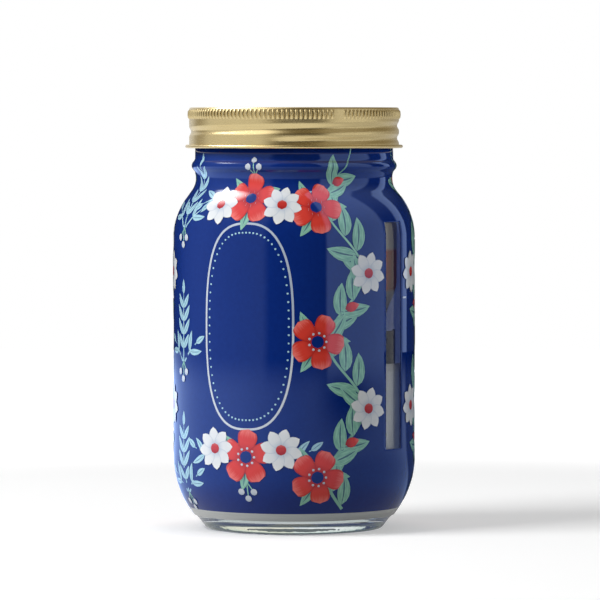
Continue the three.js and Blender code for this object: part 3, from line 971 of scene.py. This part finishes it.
def crest(press, y, up):
    """A red flower between two white ones, with curled sprigs. up is 1 above the panel, -1 below it."""
    rose(press, PANEL_X, y, 0)
    berries(press, PANEL_X, y + up * 10, 90 - up * 90)
    for side in (-1, 1):
        sprig(press, PANEL_X + side * 14, y, side * (90 - up * 10), length=13, bend=side * up * 45)
        daisy(press, PANEL_X + side * 14.5, y - up * 3, side * 10)


def draw_panel(press):
    """A bare upright panel with a pale border and dots between two crests, and a mark by the window."""
    def round_at(share, scale):
        turn = 2 * math.pi * share
        x, y = math.cos(turn), math.sin(turn)
        size = (abs(x) ** PANEL_POWER + abs(y) ** PANEL_POWER) ** (-1 / PANEL_POWER) * scale
        return (PANEL_X + PANEL_HALF * x * size, PANEL_Y + PANEL_RISE * y * size)

    press["white"].strip([round_at(t, 1) for t in shares(120)], lambda s: 0.45, STEM_LIFT, 1, False)
    for t in shares(72)[1:]:
        press["blue"].dot(*round_at(t, 0.91), 0.4, STEM_LIFT)
    for up in (-1, 1):
        crest(press, PANEL_Y + up * (PANEL_RISE + 11), up)
    mark_x = math.radians(WINDOW_BEARING + 90) * BODY_RADIUS + WINDOW_WIDTH / 2 + 1.2
    mark = [(mark_x, LEVEL_MARK_Y), (mark_x + 3.5, LEVEL_MARK_Y)]
    press["white"].strip(mark, lambda s: 0.35, LEAF_LIFT, 1, False)


def profile_curve():
    """The outside of the film above its bare margin as a curve, for the print to follow."""
    curve = bpy.data.curves.new("wrap_profile", "CURVE")
    curve.dimensions = "3D"
    line = [(r, z) for r, z in wrapped_outline(0) if z > PRINT_BOTTOM_Z]
    spline = curve.splines.new("POLY")
    spline.points.add(len(line) - 1)
    for point, (r, z) in zip(spline.points, line):
        point.co = (r * MM, 0, z * MM, 1)
    return placed("wrap_profile", curve)


def print_layers(film):
    """The inks of the print, each one thin skin just proud of the film."""
    finishes = {ink: gloss_ink(*recipe) for ink, recipe in INKS.items()}
    finishes["navy"] = film.data.materials[0]
    profile = profile_curve()
    tree = print_tree()
    layers = {ink: [] for ink in finishes}
    # What to draw, its copies round the jar, and how many to skip where the panel or the window is
    jobs = [
        (lambda press: vine(press, 1), TILES, 0),
        (lambda press: vine(press, -1), TILES, 1),
        (draw_sprays, TILES, 1),
        (draw_gaps, TILES, 1),
        (draw_panel, 1, 0),
    ]
    for draw, copies, skip in jobs:
        press = {ink: Stencil() for ink in finishes}
        draw(press)
        values = {"Profile": profile, "Body Radius": BODY_RADIUS * MM, "Copies": copies, "Skip": skip}
        for ink, stencil in press.items():
            if stencil.faces:
                shapes = (stencil.points, stencil.faces, finishes[ink])
                flat = piece(ink, *shapes, uvs=stencil.uvs, closed=False)
                layers[ink].append(grown(flat, tree, {**values, "Finish": finishes[ink]}))
    bpy.data.objects.remove(profile)
    return [joined("print_" + ink, parts) for ink, parts in layers.items()]


# Pieces of the lid


def groove_at(angle, z):
    return GROOVE_DEPTH * thread_at(angle, z, GROOVE_Z, GROOVE_TURNS, GROOVE_HALF)


def band_section(angle):
    """Cut through the band at an angle: flange, corner, grooved skirt, curled hem and back up inside."""
    inner = SKIRT_RADIUS - SHEET
    levels = [lerp(SKIRT_TOP_Z, HEM_Z + HEM_ROUND, t) for t in shares(40)]
    lip = (BAND_OPENING + SHEET / 2, BAND_TOP_Z - SHEET / 2, SHEET / 2)
    return [
        *arc(*lip, 180, 90, 3),
        *arc(SKIRT_RADIUS - BAND_CORNER, SKIRT_TOP_Z, BAND_CORNER, 90, 15, 6),
        *[(SKIRT_RADIUS - groove_at(angle, z), z) for z in levels],
        *arc(HEM_RADIUS - HEM_ROUND, HEM_Z, HEM_ROUND, 75, -90, 9),
        (inner, HEM_Z - HEM_ROUND),
        *[(inner - groove_at(angle, z), z) for z in levels[::-1]][:-1],
        (inner, BAND_TOP_Z - SHEET),
        *arc(*lip, 270, 195, 2),
    ]


def band_rib(gold):
    """One upright rib with rounded ends, at the angle of +X, rooted a little inside the skirt."""
    width = math.pi * SKIRT_RADIUS / RIBS * 1.5
    points = []
    for t in shares(6):
        swell = math.sin(math.pi * t) ** 0.3
        z = lerp(SKIRT_TOP_Z - RIB_HEIGHT, SKIRT_TOP_Z + RIB_ROOT, t)
        for s in shares(6):
            side = 2 * s - 1
            bulge = max(math.cos(side * math.pi / 2), 0) ** 0.5 * swell
            depth = (RIB_DEPTH + RIB_ROOT) * bulge - RIB_ROOT
            points.append((SKIRT_RADIUS + depth, side * width / 2, z))
    return piece("band_ribs", points, grid(7, 7), gold, closed=False)


def screw_band(gold, ring):
    """Rolled gold band with its thread groove, hem and milled ribs, which stop short of a plain seam."""
    angles = turns(BAND_SEGMENTS)
    sections = [band_section(a) for a in angles]
    points = [around(r, a, z) for a, section in zip(angles, sections) for r, z in section]
    shell = piece("band_shell", points, grid(len(angles), len(sections[0]), True, True), gold)
    step = 360 / RIBS
    values = {"Count": RIBS - 2, "Start": SEAM_BEARING + 1.5 * step, "Step": step, "Finish": gold}
    return joined("screw_band_gold", [shell, grown(band_rib(gold), ring, values)])


def lid_disc(gold):
    """Flat gold lid with a pressed panel and an enamelled underside."""
    step = PANEL_RADIUS + 2 * PANEL_DROP

    def face(z):
        low = z - PANEL_DROP
        slope = [(lerp(PANEL_RADIUS, step, t), lerp(low, z, smoothstep(t, 0, 1))) for t in shares(6)]
        return [(0, low), (PANEL_RADIUS / 2, low), *slope]

    edge = arc(LID_RADIUS - SHEET / 2, DISC_Z + SHEET / 2, SHEET / 2, -90, 90, 6)
    outline = [*face(DISC_Z), *edge, *face(DISC_Z + SHEET)[::-1]]
    disc = turned("lid_disc_gold", outline, gold, lid_enamel())
    sort_faces(disc, lambda side: side.normal.z < -0.3)
    return disc


def seal_ring():
    """Ring of sealing compound with softly rounded edges."""
    outer = LID_RADIUS - GAP - SEAL_ROUND
    inner = LID_RADIUS - GAP - SEAL_WIDTH + SEAL_ROUND
    low, high = SEAL_Z + SEAL_ROUND, SEAL_Z + SEAL_HEIGHT - SEAL_ROUND
    corners = [(inner, low, 180), (outer, low, 270), (outer, high, 0), (inner, high, 90)]
    section = [point for r, z, turn in corners for point in arc(r, z, SEAL_ROUND, turn, turn + 90, 4)]
    return turned("seal_compound", section, seal_rubber(), looped=True)


def care_card():
    """Round card with a thumb notch at the front."""
    half = math.degrees(math.asin(THUMB_NOTCH / FLANGE_RADIUS))
    notch_y = -FLANGE_RADIUS * math.cos(math.radians(half))
    outline = [
        *arc(0, 0, FLANGE_RADIUS, half - 90, 270 - half, 120),
        *arc(0, notch_y, THUMB_NOTCH, 180, 0, 20)[1:-1],
    ]

    def through(u, v, end):
        return (u, v, CARD_Z + CARD_THICK * end)

    return prism("care_card_board", outline, through, card_board())


# Pieces inside the jar


def stadium(width, height, count=6):
    """Outline of an upright slot with round ends, in its own plane."""
    rise = height / 2 - width / 2
    return arc(0, rise, width / 2, 0, 180, count) + arc(0, -rise, width / 2, 180, 360, count)


def pot_outline():
    """Cut through the basket: floor, outside of the wall, rolled flange and back down inside."""
    corner_z, floor_z = POT_FLOOR_Z + POT_CORNER, POT_FLOOR_Z + POT_WALL
    flange_top, rim = FLANGE_Z + FLANGE_THICK, FLANGE_THICK / 2
    wall_top, floor_end = POT_RADIUS - POT_WALL, POT_FLAT - POT_WALL / 2
    outside = [(POT_FLAT, POT_FLOOR_Z), (POT_FOOT - 0.6, POT_FLOOR_Z), (POT_FOOT, corner_z)]
    mouth = [(wall_top + 0.8, flange_top), (wall_top, flange_top), (wall_top - 0.1, flange_top - 0.8)]
    inside = [(POT_FOOT - POT_WALL, corner_z), (POT_FOOT - 1.3, floor_z), (floor_end, floor_z)]
    return [
        (0, POT_FLOOR_Z),
        *bezier(outside, 8),
        (POT_RADIUS, FLANGE_Z),
        *arc(FLANGE_RADIUS - rim, FLANGE_Z + rim, rim, -90, 90, 6),
        *bezier(mouth, 5),
        *bezier(inside, 8),
        (0, floor_z),
    ]


def pot_cutter(ring, steel):
    """Upright slots, drain holes and two slits for the wick, as one tool."""
    drain = arc(0.75 * POT_FLAT, 0, DRAIN_RADIUS, 0, 340, 17)
    slit = [(v, u + WICK_SPREAD) for u, v in stadium(WICK_THICK + WICK_PLAY, WICK_WIDTH + WICK_PLAY)]

    def through_wall(u, v, end):
        return (lerp(POT_RADIUS / 2, 2 * POT_RADIUS, end), u, SLOT_Z + v)

    def through_floor(u, v, end):
        return (u, v, POT_FLOOR_Z + lerp(-1, 1, end) * 2 * POT_WALL)

    tools = [
        (prism("slot", stadium(SLOT_WIDTH, SLOT_HEIGHT), through_wall), SLOTS, 0),
        (prism("drain", drain, through_floor), DRAINS, 180 / DRAINS),
        (prism("slit", slit, through_floor), 2, 0),
    ]
    cuts = []
    for tool, count, start in tools:
        values = {"Count": count, "Start": start, "Step": 360 / count, "Finish": steel}
        cuts.append(grown(tool, ring, values))
    return joined("pot_cuts", cuts)


def net_pot(ring):
    """Drawn steel basket with a rolled flange, upright slots, drain holes and two slits for the wick."""
    steel = brushed_steel()
    pot = turned("net_pot_steel", pot_outline(), steel, segments=192)
    cutter = pot_cutter(ring, steel)
    cut = pot.modifiers.new("cuts", "BOOLEAN")
    cut.object = cutter
    cut.solver = "EXACT"
    flattened(pot)
    bpy.data.objects.remove(cutter)
    smoothed(pot.data, 35)
    return pot


def wick():
    """Felt strip over the basket floor with both tails hanging down, soft at its edges and a little wavy.
    Gives its length too."""
    bend_z = WICK_TOP_Z - WICK_THICK / 2 - WICK_BEND
    tail = [(WICK_SPREAD, lerp(WICK_TAIL_Z, bend_z, t)) for t in shares(36)]
    half = tail + arc(WICK_SPREAD - WICK_BEND, bend_z, WICK_BEND, 0, 90, 6)[1:]
    line = half + [(-y, z) for y, z in half[::-1]]
    across = [2 * t - 1 for t in shares(10)]
    points = []
    for (y, z), (side_y, side_z) in zip(line, normals(line)):
        free = smoothstep(POT_FLOOR_Z - z, 2, 30)
        sway = free * (0.5 * math.sin(z / 9) + 0.3 * math.sin(z / 4.3))
        for side in (1, -1):
            for u in across:
                x = side * u * WICK_WIDTH / 2
                thick = side * WICK_THICK / 2 * (0.35 + 0.65 * (1 - abs(u) ** 6) ** 0.5)
                wave = sway + free * 0.4 * math.sin(x / 3 + z / 11)
                points.append((x, y - side_y * thick + wave, z - side_z * thick))
    girth = 2 * len(across)
    last = len(points) - girth
    ends = [tuple(range(girth))[::-1], tuple(range(last, len(points)))]
    faces = grid(len(line), girth, False, True) + ends
    return piece("wick_felt_strip", points, faces, wick_felt()), lengths(line)[-1]


def loose_fibre(finish):
    """One bowed fibre that tapers to its tip."""
    points = []
    for t in shares(3):
        for angle in turns(3):
            x, y, _ = around(FIBRE_RADIUS * (1 - 0.7 * t), angle, 0)
            points.append((x + FIBRE_BOW * t * t, y, FIBRE_LENGTH * t - FIBRE_ROOT))
    return piece("fibre", points, grid(4, 3, False, True) + [(9, 10, 11)], finish, closed=False)


def grow_medium():
    """Pressed coir block with an uneven face and loose fibres."""
    finish = coir()
    random.seed(7)
    high = COIR_LOW_Z + COIR_HEIGHT
    corner = COIR_RADIUS - COIR_ROUND
    steps = [COIR_RADIUS * t * 0.93 for t in shares(14)[:-1]]
    outline = [
        *[(r, COIR_LOW_Z) for r in steps],
        *arc(corner, COIR_LOW_Z + COIR_ROUND, COIR_ROUND, -90, 0, 4),
        *arc(corner, high - COIR_ROUND, COIR_ROUND, 0, 90, 4),
        *[(r, high) for r in steps[::-1]],
    ]
    block = turned("coir_block", outline, finish, segments=72)
    for point in block.data.vertices:
        inward = Vector((point.co.x, point.co.y, (point.co.z - (COIR_LOW_Z + high) / 2 * MM) * 2))
        point.co -= inward.normalized() * random.uniform(0, COIR_ROUGH) * MM
    fibre = loose_fibre(finish)
    values = {"Fibre": fibre, "Density": FIBRE_DENSITY, "Seed": 3, "Finish": finish}
    block = grown(block, fibre_tree(), values)
    bpy.data.objects.remove(fibre)
    return block


def rim_of(rows, columns):
    """The points round the rim of a grid, in order."""
    last = rows * columns
    right = range(2 * columns - 1, last, columns)
    top = range(last - 2, last - columns - 1, -1)
    left = range(last - 2 * columns, 0, -columns)
    return [*range(columns), *right, *top, *left]


def packet(name, width, top_z, fill, depth_at, finish, creases):
    """Filled packet along the inside of the jar, at a depth from the glass by height, with flat seals."""
    low_z = FLOOR_EDGE_Z + 1
    half_angle = width / 2 / (BODY_RADIUS - INNER_INSET - depth_at(low_z))
    ups, wides = shares(64), shares(44)
    points, uvs = [], []
    for side in (0, 1):
        for up in ups:
            z = lerp(low_z, top_z, up)
            outer = inside_radius(z) - PACKET_GAP - depth_at(z)
            v = 2 * up - 1
            for wide in wides:
                u = 2 * wide - 1
                plump = math.sqrt(max((1 - u ** 4) * (1 - v ** 4), 0))
                crease = math.sin(9 * u + 5 * v) * math.sin(13 * v - 4 * u)
                crease += 0.6 * math.sin(21 * u - 8 * v)
                thick = PACKET_SEAL + fill * plump + creases * (plump * (1 - 0.6 * plump)) * crease
                tooth = 0.12 * math.sin(width * u * 2.4) * smoothstep(abs(v), 0.93, 0.95)
                r = outer - (thick - 0.1 if side else 0.15 + 0.1 * plump) + tooth
                points.append(around(r, math.radians(WINDOW_BEARING) + u * half_angle, z))
                uvs.append((up, wide))
    rows, columns = len(ups), len(wides)
    count = rows * columns
    outer_faces = grid(rows, columns)
    inner_faces = [tuple(k + count for k in face)[::-1] for face in outer_faces]
    ring = rim_of(rows, columns)
    rim = [(b, a, a + count, b + count) for a, b in zip(ring, ring[1:] + ring[:1])]
    return piece(name, points, outer_faces + inner_faces + rim, finish, uvs=uvs)


# Studio, in metres apart from the mesh of its floor, with bearings in degrees

PLAIN = (1, 1, 1, 1)
GLOSS_TINT = (1, 1.4, 2.4, 1)
SHADE_TINT = (1, 0.8, 0.4, 1)
RIGHT_PANEL = (29, 33, 95, 101)
LEFT_END = (-32, -22)
CAMERA_PLACE, CAMERA_AIM = Vector((0, -1.921, 0.1656)), Vector((0.0024, 0, 0.0927))
LENS, SENSOR = 283.4, 36
JAR_MIDDLE = Vector((0, 0, 0.09))
KEY_PLACE, GLINT_PLACE = (-1.18, -0.6, 1.27), (-0.9, 0.38, 1.4)
DARK_SPOT = (0.82, -0.7, 0)
STAGE_RADIUS, STAGE_Z = 1500, -0.05


def satin_room(tree, bearing, height, low):
    """What the satin gold sees: a wall on the left with a dark strip, a lamp above it and a window."""
    strip = tree.span(bearing, -150, -132, -124, -104)
    wall = tree.fade(bearing, -40, -12) * (1 - 0.6 * strip)
    key = tree.span(bearing, -95, -75, -40, -20) * tree.smooth(height, 0.3, 0.5)
    window = tree.smooth(bearing, 28, 46) * (1 - 0.5 * tree.smooth(bearing, 80, 120)) * (0.3 + 0.7 * low)
    return 0.03 + 0.66 * wall + 0.9 * key + 0.75 * window + 0.1 * tree.smooth(height, 0.1, 0.6)


def mirror_room(tree, bearing, ceiling):
    """What the film's gloss sees: panels on the right, a dimmer wall on the left and a gap in front."""
    panels = tree.span(bearing, *RIGHT_PANEL) + tree.span(bearing, 120, 124, 135, 138)
    wall = tree.span(bearing, -150, -88, *LEFT_END)
    gap = tree.span(bearing, *LEFT_END, *RIGHT_PANEL[:2])
    return 0.02 + panels * 0.62 + wall * 0.28 + ceiling * (0.3 - 0.24 * gap)


def studio_world():
    """White behind the jar, and three dim rooms round it by bearing: one lights matt surfaces, one shows
    in the satin gold and one in the film's gloss."""
    world = bpy.data.worlds.new("studio")
    bpy.context.scene.world = world
    world.use_nodes = True
    tree = Tree(world.node_tree)
    x, y, height = tree.split(tree.node("ShaderNodeTexCoord", out="Generated"))
    bearing = tree.bearing(x, y)
    seen, through, glossy, singular = tree.rays("Camera", "Transmission", "Glossy", "Singular")
    plain = seen + through
    ceiling = tree.smooth(height, 0.2, 0.95)
    low = tree.fade(height, 0.05, 0.5)
    right = tree.span(bearing, 10, 60, 100, 150)
    left = tree.span(bearing, -150, -100, -70, -20)
    light = 0.02 + (right * 2.8 + left * 1.4) * low + ceiling * 0.16
    satin = satin_room(tree, bearing, height, low)
    room = lerp(lerp(light, satin, glossy), mirror_room(tree, bearing, ceiling), singular)
    tint = tree.mix(tree.fade(satin, 0.1, 0.55) * glossy, PLAIN, SHADE_TINT)
    tint = tree.mix(singular * (1 - plain), tint, GLOSS_TINT)
    background = tree.tree.nodes["Background"]
    tree.link(tint, background.inputs["Color"])
    tree.link(lerp(room, 1, plain), background.inputs["Strength"])


def facing(made, place, target):
    """Puts a lamp or camera at a place, facing a target."""
    made.location = place
    made.rotation_euler = (target - Vector(place)).to_track_quat("-Z", "Y").to_euler()


def softbox(name, place, width, height, power):
    """An area lamp at a place, facing the jar, without a reflection of its own."""
    lamp = bpy.data.lights.new(name, "AREA")
    lamp.shape = "RECTANGLE"
    lamp.size = width
    lamp.size_y = height
    lamp.energy = power
    made = placed(name, lamp)
    facing(made, place, JAR_MIDDLE)
    made.visible_glossy = False
    return made


def glint(place, width, power):
    """A lamp that fades out towards its rim and only shows as a soft spot in the gloss."""
    made = softbox("glint", place, width, width, power)
    made.visible_glossy = True
    made.visible_diffuse = False
    made.data.use_nodes = True
    tree = Tree(made.data.node_tree)
    spot = tree.node("ShaderNodeNewGeometry", out="Parametric")
    off = tree.vector("DISTANCE", spot, (0.5, 0.5, 0), out="Value")
    tree.link(tree.fade(off, 0.05, 0.5), tree.tree.nodes["Emission"].inputs["Strength"])


def floor_seen(floor, x, away, seen, through):
    """What the camera sees: the jar's shadow, darkest where it stands, running out into plain white."""
    far = floor.smooth(away, 0.3, 0.6)
    contact = floor.fade(away, 0.036, 0.065) * (1 - 0.8 * floor.smooth(x, -0.01, 0.025))
    share = seen * (0.35 - 0.35 * contact) + through * 0.42 + (seen * 0.65 + through * 0.58) * far
    white = floor.node("ShaderNodeEmission", {"Strength": 1.38})
    return floor.node("ShaderNodeMixShader", {0: share, 1: floor.look, 2: white})


def floor_gloss(floor, x, y, away):
    """Level of the floor in the film's gloss: brightest on the left, with a dark spot, and near its rim
    like the walls that the gloss sees."""
    bearing = floor.bearing(x, y)
    level = (0.77 - 0.42 * floor.smooth(bearing, -70, 5)) * (0.75 + 0.25 * floor.smooth(away, 0.1, 0.6))
    off = floor.vector("DISTANCE", floor.place, DARK_SPOT, out="Value")
    level = level * floor.smooth(off, 0.1, 0.65) * (1 - 0.85 * floor.smooth(bearing, 128, 134))
    walls = 0.64 * floor.span(bearing, *RIGHT_PANEL) + 0.3 * floor.fade(bearing, *LEFT_END)
    return lerp(level, walls, floor.smooth(away, 1.0, 1.5))


def pale_floor():
    """Round white floor. Rays that don't come from the camera see a dimmer one: in the film's gloss, in
    the satin gold, and as the light that it throws back on the jar, most on the left."""
    floor = Finish("pale_floor", {"Roughness": 0.9, "Specular IOR Level": 0})
    floor.done(floor.mix(floor.noise(400, 2), srgb(249, 249, 249), srgb(253, 253, 253)))
    x, y, _ = floor.split(floor.place)
    away = reach(x, y)
    kinds = ("Camera", "Transmission", "Glossy", "Singular", "Diffuse")
    seen, through, glossy, singular, diffuse = floor.rays(*kinds)
    side = 0.75 - 0.4 * floor.smooth(x, -0.9, -0.1)
    satin = 0.9 - 0.35 * floor.smooth(x, 0.05, 0.25)
    close = floor.fade(away, 0.1, 0.35)
    bounce = floor.fade(x, -0.3, 0.15) * 0.4 + close * (0.5 - 0.75 * floor.smooth(x, -0.12, 0.06))
    level = lerp(lerp(side, satin, glossy), floor_gloss(floor, x, y, away), singular) + bounce * diffuse
    tint = floor.mix(singular * floor.smooth(away, 0.05, 0.1), PLAIN, GLOSS_TINT)
    dim = floor.node("ShaderNodeEmission", {"Color": tint, "Strength": level})
    near = floor_seen(floor, x, away, seen, through)
    floor.show(floor.node("ShaderNodeMixShader", {0: seen + through, 1: dim, 2: near}))
    disc = [(STAGE_RADIUS * t, STAGE_Z) for t in shares(8)]
    turned("floor", disc, floor.material, segments=96)


def camera():
    """Long lens at the height of the lid, as in the photograph."""
    lens = bpy.data.cameras.new("camera")
    lens.lens = LENS
    lens.sensor_width = SENSOR
    made = placed("camera", lens)
    facing(made, CAMERA_PLACE, CAMERA_AIM)
    bpy.context.scene.camera = made


def settle(made, body, slot, *nodes):
    """Puts a piece on its body, in place of the solids that it stands for. slot is not used."""
    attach(made, body)
    if nodes:
        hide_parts(*nodes)


def seed_depth(z):
    """The seed packet lies behind the pouches and leans to the glass above them."""
    return SEED_DEPTH - SEED_LEAN * smoothstep(z, CARBON_TOP_Z + 4, CARBON_TOP_Z + 20)


def stow_packets():
    """The two pouches and the seed packet, one behind the other at the window."""
    grey = sachet_film("grey_pouch_film", srgb(148, 144, 148), srgb(178, 174, 178), 0.2)
    food = packet("plant_food_pouch", FOOD_WIDTH, FOOD_TOP_Z, FOOD_FILL, lambda z: 0, grey, POUCH_CREASES)
    settle(food, "jar", "grey_film", "plant_food_sachet")
    black = sachet_film("charcoal_pouch_film", srgb(38, 38, 36), srgb(64, 62, 58), 0)
    size = (CARBON_WIDTH, CARBON_TOP_Z, CARBON_FILL)
    carbon = packet("carbon_pouch", *size, lambda z: CARBON_DEPTH, black, POUCH_CREASES)
    settle(carbon, "jar", "charcoal_film", "carbon_sachet")
    size = (SEED_WIDTH, SEED_TOP_Z, SEED_FILL)
    seeds = packet("seed_packet_paper", *size, seed_depth, packet_paper(), PAPER_CREASES)
    settle(seeds, "jar", "seed_paper", "seed_packet")


def build():
    ring = ring_tree()
    gold = gold_lacquer()
    settle(glass_jar(), "jar", "glass", "glass_jar")
    film = wrap_film()
    settle(film, "jar", "wrap_film", "printed_wrap")
    for layer in print_layers(film):
        settle(layer, "jar", "wrap_film")
    settle(screw_band(gold, ring), "band", "gold_tinplate", "screw_band")
    settle(lid_disc(gold), "lid", "gold_tinplate", "lid_disc")
    settle(seal_ring(), "lid", "seal", "seal_ring")
    settle(care_card(), "card", "card", "care_card")
    settle(net_pot(ring), "basket", "steel", "net_pot")
    strip, length = wick()
    settle(strip, "basket", "felt", "wick")
    settle(grow_medium(), "basket", "coir", "grow_medium")
    stow_packets()


def stage():
    bpy.context.scene.view_settings.view_transform = "Standard"
    camera()
    studio_world()
    pale_floor()
    softbox("key", KEY_PLACE, width=0.9, height=0.6, power=31)
    glint(GLINT_PLACE, width=1.15, power=90)


build()
stage()
